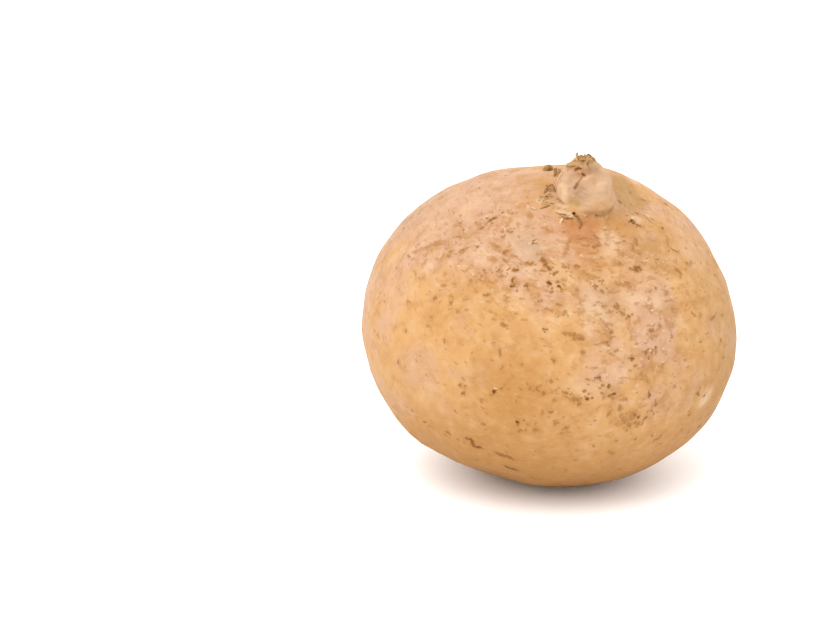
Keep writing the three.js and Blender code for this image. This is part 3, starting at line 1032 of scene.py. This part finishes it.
# Long creases: width in mm, depth, and the turn and rise of points along each.
creases = [
    # The first three, low on the front, are darker than their own brown: partly painted shadow.
    (1.1, 0.8, (-30, -22.5), (-27.5, -22.5), (-26, -23), (-26, -25.5), (-23.5, -26), (-20.5, -27)),
    (1.1, 0.65, (-20.5, -27), (-17, -28), (-13, -29), (-10, -30.5)),
    (1.1, 0.75, (-18, -33.5), (-14, -35.5), (-10, -36.5)),
    (1.2, 0.6, (-11.5, 38.5), (-10, 37.5), (-7.5, 37.5), (-4.5, 36.5)),
    (1.3, 0.75, (-5.5, 40), (-3.5, 39), (-1, 36), (1.5, 34)),
    (1.0, 0.5, (53.5, 32), (54.5, 29.5), (55.5, 28), (56, 27)),
    (0.8, 0.5, (-26, 50.5), (-24, 50), (-22, 49.5), (-21, 50.5)),
    (0.8, 0.35, (-30, 43.5), (-26.5, 43), (-23.5, 42.5)),
    (0.8, 0.3, (66, 42), (61, 39), (58, 36)),
    (1.0, 0.35, (12.5, 51), (9, 47), (6.5, 42), (3.5, 38)),
    (0.8, 0.3, (-18.5, 41), (-16.5, 40), (-15, 39)),
    (0.8, 0.45, (45.5, 46), (44.5, 43.5), (41.5, 41)),
    (0.8, 0.5, (3, 14.8), (6, 14.2), (10, 13)),
    (0.8, 0.5, (66, 12), (62, 11), (58.5, 11.5)),
    (1.2, 0.25, (-66, 30), (-60, 35), (-54, 39), (-49, 42)),
    (0.8, 0.4, (39.5, -20.5), (40.5, -24), (38.5, -24.5), (38.5, -27.5)),
    (1.1, 0.35, (22, -10), (23, -13), (25, -15.5)),
    (0.5, 0.4, (17, 18.5), (18.5, 16), (20, 14.5)),
]


def scar_line(turn, rise, length, heading, bend):
    """The middles of single scars: arcs through each place, length long, that rise by the
    heading to the right and bow by bend of their length."""
    at = towards(turn, rise)
    level = unit(np.cross([0, 0, 1], at))
    up = np.cross(at, level)
    along = np.cos(heading)[:, None] * level + np.sin(heading)[:, None] * up
    run = np.linspace(-0.5, 0.5, scar_rows)[None, :, None]
    bow = bend[:, None, None] * (4 * run**2 - 0.5)
    step = run * along[:, None] + bow * np.cross(at, along)[:, None]
    return unit(at[:, None] + step * length[:, None, None] / half_width)


def scar_strips(line, width):
    """Directions on strips of this width along lines of directions. A strip is widest in its
    middle, and narrows towards its ends by the root of 1 minus the run to the fourth, or a
    little over, so that its end isn't a point."""
    along = unit(np.gradient(line, axis=1))
    across = np.cross(line, along)
    rows = line.shape[1]
    narrowing = np.sqrt(1.04 - np.linspace(-1, 1, rows) ** 4)
    offset = np.linspace(-0.5, 0.5, scar_columns)
    reach = width[:, None, None] * narrowing[None, :, None] * offset / half_width
    return unit(line[:, :, None] + reach[..., None] * across[:, :, None])


def strips_piece(name, points):
    """One mesh of open strips, from grids of points."""
    count, rows, columns = points.shape[:3]
    offsets = np.arange(count)[:, None, None] * rows * columns
    faces = (rows_of_faces(rows, columns)[:, ::-1] + offsets).reshape(-1, 4)
    return new_piece(name, points.reshape(-1, 3) * MM, faces.tolist())


def scar_fade(rows):
    """1 in a scar's middle and 0 on its edges and ends: 1 minus the cube of the run, times 1
    minus the way out to the side."""
    run, offset = np.linspace(-1, 1, rows)[:, None], np.linspace(-1, 1, scar_columns)
    return (1 - np.abs(run) ** 3) * (1 - np.abs(offset))


def lay_scars(name, line, width, depth):
    """Scars of one kind as a piece on the skin, highest in the middle of each."""
    way = scar_strips(line, scar_spread * width)
    points, lift, share, _ = root_at(way)
    fade = np.broadcast_to(scar_fade(line.shape[1]), way.shape[:3])
    points = points + body_middle + way * (scar_raised + scar_swelling * fade[..., None])
    piece = strips_piece(name, points)

    def in_order(values):
        return values.reshape(-1, *values.shape[3:])

    keep_looks(piece, way, lift, share, in_order)
    mark_points(piece, "scar", in_order(fade))
    depth = np.broadcast_to(depth[:, None, None], way.shape[:3])
    mark_points(piece, "scar_depth", in_order(depth))
    piece.data.materials.append(skin_look)
    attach(piece, "root")


def some_scars(count, seed):
    """Small scars scattered over the root. Of random places, those stay whose random number
    is below the crowd there."""
    draw = np.random.default_rng(seed)
    tries = 4 * count
    turn = draw.uniform(-180, 180, tries)
    rise = np.degrees(np.arcsin(draw.uniform(-0.85, 0.9, tries)))
    crowd = 0.25 + patches(towards(turn, rise), scar_crowds)
    kept = np.flatnonzero(draw.uniform(0, 1, tries) < crowd)[:count]
    turn, rise = turn[kept], rise[kept]
    length = np.exp(draw.normal(0.45, 0.4, turn.size))
    heading = draw.normal(0, 28, turn.size)
    bend = draw.uniform(-0.25, 0.25, turn.size)
    width = draw.uniform(0.5, 1.0, turn.size)
    depth = draw.uniform(0.15, 0.7, turn.size) ** 1.2
    return scar_line(turn, rise, length, np.radians(heading), bend), width, depth


def crumbs(listed, each, seed):
    """Crumbs of cork beside the listed scars: each scar has a few, strewn about its line by
    a normal spread."""
    draw = np.random.default_rng(seed)
    turn, rise, length, _, heading, depth = np.repeat(listed, each, axis=1)
    along = draw.normal(0, 0.45, turn.size) * (length + 1.2)
    aside = draw.normal(0, 1.1, turn.size)
    heading = np.radians(heading)
    level = along * np.cos(heading) - aside * np.sin(heading)
    climb = along * np.sin(heading) + aside * np.cos(heading)
    turn = turn + np.degrees(level / half_width) / np.cos(np.radians(rise))
    rise = rise + np.degrees(climb / half_width)
    heading = heading + draw.normal(0, 0.7, turn.size)
    size = draw.uniform(0.8, 2.2, turn.size)
    line = scar_line(turn, rise, size, heading, draw.uniform(-0.3, 0.3, turn.size))
    return line, draw.uniform(0.3, 0.65, turn.size), depth * draw.uniform(0.4, 0.9, turn.size)


listed = np.array(scars, float).T
turn, rise, length, width, heading, depth = listed
bend = np.random.default_rng(3).uniform(-0.2, 0.2, len(scars))
line = scar_line(turn, rise, listed_length * length, np.radians(heading), bend)
lay_scars("scars", line, listed_width * width, depth)
lay_scars("crumbs", *crumbs(listed[:, depth >= crumbed_depth], crumbs_each, 6))
lay_scars("small_scars", *some_scars(small_scars, 5))

crease_rows = 25
crease_points = [towards(*np.array(points, float).T) for _, _, *points in creases]
line = np.array([unit(smooth_line(points, crease_rows)) for points in crease_points])
width, depth = np.array([crease[:2] for crease in creases]).T
lay_scars("creases", line, width, depth)

# ---- The dry scales round the stump ----------------------------------------------------------
# What is left of the stem's lowest leaves: dry, papery flakes that lift off the skin at the
# stump's left and at its foot, and brown shreds of them, bent over and curled. The broken
# end is frayed into short shreds too.
shred_rows = 19
shred_around = 8
flake_around = 26

# Shreds on the skin: width in mm, paleness, and the turn, rise and height in mm of points
# along each.
shreds = [
    (2.5, 0.28, (-163, 81.5, -0.3), (-166.5, 81.1, 0.8), (-172, 80.9, 1.2), (-176, 81.2, 0.3)),
    (1.4, 0.3, (-170, 80, 0.0), (-172, 79.6, 1.0), (-177, 79.8, 0.9), (-179, 80.4, -0.2)),
    (0.9, 0.15, (168, 86.5, -0.3), (164, 86.3, 1.0), (150, 87.3, 1.2), (30, 88.5, 0.3)),
    (0.8, 0.2, (145, 85.6, -0.3), (142, 86, 0.9), (120, 87, 1.1), (45, 87.2, 0.2)),
    (0.7, 0.2, (120, 85, -0.3), (100, 86, 0.9), (60, 86, -0.2)),
    (
        0.8,
        0.15,
        (-8, 71.2, -0.3),
        (-7.4, 73.4, 0.7),
        (-3, 75.3, 1.3),
        (1.5, 74.8, 1.3),
        (3.6, 70.6, -0.2),
    ),
    (1.0, 0.3, (-7, 70, -0.2), (-4, 69.4, 0.5), (0.5, 68.4, -0.2)),
    (0.8, 0.25, (-9, 69.5, 0.0), (-10.5, 68, 0.5), (-11, 66, 0.0)),
    (0.7, 0.2, (-9, 62.6, 0.0), (-5, 63.0, 0.35), (-1, 64, 0.0)),
    (
        0.55,
        0.1,
        (14.4, 58, 0.1),
        (16.6, 57.5, 0.5),
        (18.2, 55.8, 0.55),
        (18, 54, 0.4),
        (15.6, 52.2, -0.1),
    ),
    (0.6, 0.1, (8, 57.2, 0.0), (11, 56.9, 0.3), (14.4, 56.6, 0.0)),
    (1.0, 0.1, (54, 52, -0.1), (52.8, 51.2, 0.5), (51.8, 50.4, -0.1)),
    (1.0, -0.3, (14.2, 58.3, -0.1), (14.9, 58.6, 0.35), (15.6, 58.3, -0.1)),
]
# Shreds on the broken end: the same, but with the turn and share of the stump's height.
end_shreds = [
    (
        1.5,
        0.5,
        (-92, 0.83, 0.0),
        (-66, 0.88, 0.3),
        (-38, 0.91, 0.35),
        (-14, 0.89, 0.2),
        (2, 0.86, -0.1),
    ),
    (1.2, 0.6, (-125, 0.9, 0.0), (-98, 0.96, 0.3), (-62, 0.98, 0.3), (-32, 0.95, 0.0)),
    (1.4, 0.5, (-122, 0.97, 0.0), (-114, 1.02, 0.4), (-92, 1.04, 0.4), (-60, 1.0, 0.0)),
    (0.9, 0.3, (-30, 0.97, 0.0), (-8, 1.0, 0.4), (14, 1.0, 0.4), (32, 0.96, 0.0)),
    (1.2, 0.5, (26, 0.93, 0.0), (38, 0.97, 0.3), (56, 0.98, 0.3), (76, 0.93, 0.0)),
    (0.7, 0.0, (-3, 0.74, -0.1), (3, 0.71, 0.25), (9, 0.69, -0.1)),
    (0.7, 0.6, (-20, 0.78, -0.1), (-12, 0.76, 0.3), (-4, 0.73, -0.1)),
    (0.9, 0.4, (80, 0.9, 0.0), (86, 0.95, 0.3), (98, 0.96, 0.1)),
    (0.9, 0.3, (130, 0.88, 0.0), (140, 0.97, 0.4), (152, 1.0, 0.0)),
    (0.9, 0.5, (-170, 0.9, 0.0), (-160, 0.97, 0.5), (-148, 1.0, 0.0)),
]


def shred_grids(lines, facing, width, seed):
    """Closed rods about the lines, flattened towards the way that they face. A rod is fluted:
    each of its sides has a random share of the width, and so has each row. It narrows at its
    ends by the root of 1 minus the run to the fourth."""
    draw = np.random.default_rng(seed)
    count, rows = lines.shape[:2]
    along = unit(np.gradient(lines, axis=1))
    sideways = unit(np.cross(along, facing))
    up = np.cross(sideways, along)
    theta = np.linspace(0, 2 * np.pi, shred_around, endpoint=False)
    ends = np.sqrt(1.002 - np.linspace(-1, 1, rows) ** 4)
    uneven = draw.uniform(0.8, 1.2, (count, 1, shred_around))
    uneven = uneven * draw.uniform(0.88, 1.12, (count, rows, 1))
    radius = 0.5 * width[:, None, None] * ends[None, :, None] * uneven
    return (
        lines[:, :, None]
        + (radius * np.cos(theta))[..., None] * sideways[:, :, None]
        + 0.6 * (radius * np.sin(theta))[..., None] * up[:, :, None]
    )


def flake_grids(at, heading, length, width, lifted, seed):
    """Closed thin flakes on the skin at each direction. Rows go from the middle of the
    underside round the edge to the middle of the top. The outline is an oval with random
    notches, and the edge is lifted most on one side."""
    draw = np.random.default_rng(seed)
    count = len(at)
    run = np.array([0.04, 0.4, 0.75, 0.95, 1.0, 0.96, 0.75, 0.4, 0.04])[None, :, None]
    thick = np.array([-0.25, -0.2, -0.12, -0.06, 0.0, 0.08, 0.12, 0.12, 0.12])[None, :, None]
    theta = np.linspace(0, 2 * np.pi, flake_around, endpoint=False)[None, None]
    phase = draw.uniform(0, 6, (3, count, 1, 1))
    outline = 1 + 0.2 * np.sin(2 * theta + phase[0]) + 0.14 * np.sin(5 * theta + phase[1])
    outline = outline + 0.22 * draw.uniform(-1, 1, (count, 1, flake_around))
    lift = lifted[:, None, None] * (0.5 + 0.5 * np.cos(theta - phase[2])) ** 2 * run**3
    level = unit(np.cross([0, 0, 1], at))
    along = np.cos(heading)[:, None] * level + np.sin(heading)[:, None] * np.cross(at, level)
    across = np.cross(at, along)
    ahead = 0.5 * length[:, None, None] * outline * run * np.cos(theta)
    sideways = 0.5 * width[:, None, None] * outline * run * np.sin(theta)
    step = ahead[..., None] * along[:, None, None] + sideways[..., None] * across[:, None, None]
    way = unit(at[:, None, None] + step / half_width)
    return root_at(way)[0] + body_middle + way * (thick + lift)[..., None]


def leaf_finish():
    """Dry leaf: straw where it is thin, brown in its middle, nearly black where it is dark."""
    straw, brown, black = colour(244, 204, 158), colour(202, 150, 94), colour(108, 55, 12)
    finish = Finish("dry_leaf", black)
    fibre = finish.noise(finish.place(), 1.1, 4, 0.65)
    pale = finish.sum("MULTIPLY_ADD", finish.centred(fibre), 0.5, finish.kept("pale_leaf"))
    finish.wash(brown, pale, -0.15, 0.3)
    finish.wash(straw, pale, 0.35, 0.85)
    finish.set(finish.shader.inputs["Base Color"], finish.tone)
    finish.shader.inputs["Roughness"].default_value = 0.8
    finish.shader.inputs["Specular IOR Level"].default_value = 0.0
    finish.set(finish.shader.inputs["Normal"], finish.height(fibre, 0.15))
    return finish.material


leaf_look = leaf_finish()


def lay_leaf(name, grids, pale):
    """Shreds or flakes as one piece, each with its own paleness from 0 to 1."""
    piece = closed_piece(name, grids)
    mark_points(piece, "pale_leaf", np.repeat(pale, len(piece.data.vertices) // len(grids)))
    piece.data.materials.append(leaf_look)
    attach(piece, "root")


def lay_shreds(name, listed, point_at, seed):
    """Listed shreds as one piece, about curves through their points. For the first two
    numbers of a point, point_at gives a place on the surface and its outward way."""
    width, pale = np.array([shred[:2] for shred in listed]).T
    lines, facing = [], []
    for _, _, *points in listed:
        first, second, height = np.array(points, float).T
        point, way = point_at(first, second)
        lines.append(smooth_line(point + way * height[:, None], shred_rows))
        facing.append(unit(smooth_line(way, shred_rows)))
    grids = shred_grids(np.array(lines), np.array(facing), width, seed)
    lay_leaf(name, grids, pale)


def point_on_skin(turn, rise):
    way = towards(turn, rise)
    return root_at(way)[0] + body_middle, way


def point_on_stump(turn, share):
    """A point on the stump's side, and its outward way, at a turn and a share of its height."""
    below_rim = side[len(side) // 6 :]  # where the side goes down all the way
    reach = np.interp(-share * stump_height, -below_rim[:, 1], below_rim[:, 0])
    bearing = np.radians(turn)[:, None]
    outward = np.cos(bearing) * stump_front + np.sin(bearing) * stump_right
    point = root_surface(reach, share * stump_height, turn)[0] + body_middle
    return point, unit(outward + stump_axis)


lay_shreds("shreds", shreds, point_on_skin, 21)
lay_shreds("end_shreds", end_shreds, point_on_stump, 22)

# Flakes: turn, rise, length and width in mm, heading in degrees, lift in mm, paleness.
flakes = [
    (9, 59.6, 5.6, 2.6, -12, 0.7, 1.0),
    (13, 58.4, 3.0, 1.8, 10, 0.6, 1.0),
    (6, 56.2, 3.0, 1.1, 80, 0.3, 0.9),
    (-11, 66.3, 2.4, 1.8, 30, 0.6, 1.0),
    (-6, 65.5, 2.6, 1.4, -20, 0.5, 0.5),
    (-14, 63, 2.0, 1.2, 0, 0.3, 0.9),
    (64.5, 49, 5.0, 1.3, 69, 0.12, 0.6),
    (66.5, 51, 2.0, 1.2, 69, 0.3, 1.0),
    (65.5, 29.5, 2.6, 1.2, 20, 0.1, 0.5),
    (53, 14.5, 3.0, 0.9, -50, 0.08, 0.4),
    (56, 13.5, 2.0, 0.8, 40, 0.08, 0.4),
    (36, 19, 1.2, 0.9, 10, 0.15, 1.0),
    (37.5, 19, 1.8, 0.5, 0, 0.1, 0.6),
    (44, 21, 2.4, 0.5, 0, 0.1, 0.5),
    (55.5, 53, 2.6, 1.3, 0, 0.2, 0.8),
    (-2, 68, 1.8, 1.2, 30, 0.5, 0.5),
    (1, 65, 2.2, 1.4, -30, 0.4, 0.6),
    (13, 19, 1.6, 0.9, 80, 0.1, 0.6),
    (17.5, 17.5, 3.2, 0.5, -62, 0.08, 0.5),
    (18.5, 14.5, 2.0, 0.5, -50, 0.08, 0.45),
    (16, 31, 0.9, 0.7, 0, 0.1, 0.95),
    (16, 30, 0.9, 0.6, 0, 0.1, 0.9),
    (32.5, 7, 1.1, 0.7, 0, 0.1, 0.9),
    (-7.5, 47, 1.4, 0.7, 20, 0.1, 0.9),
    (-13, 51.5, 1.8, 0.6, 80, 0.1, 0.8),
    (-42, 54.5, 1.4, 0.8, 30, 0.1, 0.85),
    (-16, -3, 1.5, 0.5, -20, 0.1, 0.9),
]
turn, rise, length, width, heading, lifted, pale = np.array(flakes, float).T
grids = flake_grids(towards(turn, rise), np.radians(heading), length, width, lifted, 24)
lay_leaf("flakes", grids, pale)

# Loose bits of the same, scattered round the stump's left.
draw = np.random.default_rng(8)
bits = 24
bearing = np.radians(draw.uniform(-190, 8, bits))
away = draw.uniform(9.0, 14.5, bits) / crown_reach
level = np.cos(bearing)[:, None] * crown_front + np.sin(bearing)[:, None] * crown_right
bit_at = np.cos(away)[:, None] * crown + np.sin(away)[:, None] * level
grids = flake_grids(
    bit_at,
    draw.uniform(-1.6, 1.6, bits),
    draw.uniform(1.0, 2.8, bits),
    draw.uniform(0.6, 1.5, bits),
    draw.uniform(0.1, 0.8, bits),
    25,
)
lay_leaf("loose_bits", grids, draw.uniform(0.35, 0.85, bits))

# ---- The end of the taproot ------------------------------------------------------------------
# The root tapers at the back, low down, to the woody end of its taproot, which has dried,
# shrunk into rings and curled up.
tail_points_to = (178, -26)
tail_foot_radius = 3.4
tail_tip_radius = 0.8
tail_length = 9.2
tail_sunk = 4  # mm, inside the body
tail_curl = 3.2  # how far its tip is curled up
tail_rows = 70
tail_around = 40


def tail_grid():
    """A tapering rod along an axis: its radius shrinks evenly, is flared at the foot by a
    bell and waisted by a half sine, has five ribs, bark and rings, and ends in a rounded tip.
    Its middle curls up by the square of the run."""
    axis = towards(*tail_points_to)
    right = unit(np.cross(axis, [0, 0, 1]))
    up = np.cross(right, axis)
    ahead = np.linspace(-tail_sunk, tail_length, tail_rows)[:, None]
    turn = np.linspace(0, 2 * np.pi, tail_around, endpoint=False)[None]
    run = (ahead + tail_sunk) / (tail_length + tail_sunk)
    along = np.clip(ahead / tail_length, 0, 1)
    radius = tail_foot_radius + (tail_tip_radius - tail_foot_radius) * run
    radius = radius * (1 - 0.3 * np.sin(np.pi * along)) + 1.6 * hump(ahead + 0.5, 1.3)
    radius = radius * (1 + 0.1 * np.sin(5 * turn + 9 * along))
    at = np.stack(np.broadcast_arrays(2 * np.sin(turn), 2 * np.cos(turn), ahead), axis=-1)
    bark = 0.12 * cloud(at * [1, 1, 1.6], 0.9, 31)
    rings = 0.05 * np.sin(5 * ahead + 2 * np.sin(turn))
    radius = radius * (1 + bark + rings)
    radius = radius * np.sqrt(1.0004 - ease(ahead, tail_length - 0.9, tail_length) ** 2)
    curl = tail_curl * along**2
    foot = towards(*tail_place) * body_radius(towards(*tail_place))
    return (
        foot
        + body_middle
        + ahead[..., None] * axis
        + (radius * np.sin(turn))[..., None] * right
        + (radius * np.cos(turn) + curl)[..., None] * up
    )


grid = tail_grid()
tail = closed_piece("taproot", grid[None])
tail_way = unit(grid - body_middle)
woody = np.broadcast_to(np.linspace(0, 1, tail_rows)[:, None], grid.shape[:2])
# The skin's material takes it for a side of the stump that turns to bark towards its tip.
as_lift, as_share = 3 * woody, 0.45 + 0.5 * woody
keep_looks(tail, tail_way, as_lift, as_share, with_poles)
tail.data.materials.append(skin_look)
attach(tail, "root")

# ---- The floor, the lights and the camera ---------------------------------------------------
# A white table in a white room, one large soft lamp above on the left, and one behind on
# the right that clears the root's shadow from the table.
floor_reach = 6  # metres
room_light = 1.65

floor_corners = np.array([[-1, -1, 0], [1, -1, 0], [1, 1, 0], [-1, 1, 0]], float)
floor = new_piece("floor", floor_reach * floor_corners, [[0, 1, 2, 3]])
floor_finish = Finish("white_table")
floor_finish.shader.inputs["Base Color"].default_value = (0.95, 0.95, 0.95, 1)
floor_finish.shader.inputs["Roughness"].default_value = 0.7
floor_finish.shader.inputs["Specular IOR Level"].default_value = 0.1
floor.data.materials.append(floor_finish.material)
floor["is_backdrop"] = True


def soft_lamp(name, spot, size, power):
    """A square lamp of this size in metres and power in watts, at spot, that faces the root."""
    data = bpy.data.lights.new(name, "AREA")
    data.size = size
    data.energy = power
    lamp = bpy.data.objects.new(name, data)
    bpy.context.collection.objects.link(lamp)
    lamp.location = spot
    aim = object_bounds()[0].lerp(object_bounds()[1], 0.5) - lamp.location
    lamp.rotation_euler = aim.to_track_quat("-Z", "Y").to_euler()


soft_lamp("key_lamp", (-0.6, -0.8, 1.3), size=1.4, power=15.5)
soft_lamp("back_lamp", (0.9, 0.9, 0.7), size=1.0, power=4)

world = bpy.data.worlds.new("white_room")
world.use_nodes = True
world.node_tree.nodes["Background"].inputs["Color"].default_value = (1, 1, 1, 1)
world.node_tree.nodes["Background"].inputs["Strength"].default_value = room_light
bpy.context.scene.world = world
bpy.context.scene.view_settings.view_transform = "Standard"

camera_distance = 0.9  # metres, from the body's middle
camera_rise = math.radians(17)
camera_lens = 122  # mm
aim_left = 0.0436  # metres, so that the root is to the right of the picture's middle
aim_up = 0.002

camera_data = bpy.data.cameras.new("camera")
camera_data.lens = camera_lens
camera_data.clip_start = 0.05
camera_data.clip_end = 30
camera = bpy.data.objects.new("camera", camera_data)
bpy.context.collection.objects.link(camera)
middle = body_middle * MM
back_and_up = np.array([0, -math.cos(camera_rise), math.sin(camera_rise)])
camera.location = middle + camera_distance * back_and_up
aim = Vector(middle + [-aim_left, 0, aim_up]) - camera.location
camera.rotation_euler = aim.to_track_quat("-Z", "Y").to_euler()
bpy.context.scene.camera = camera
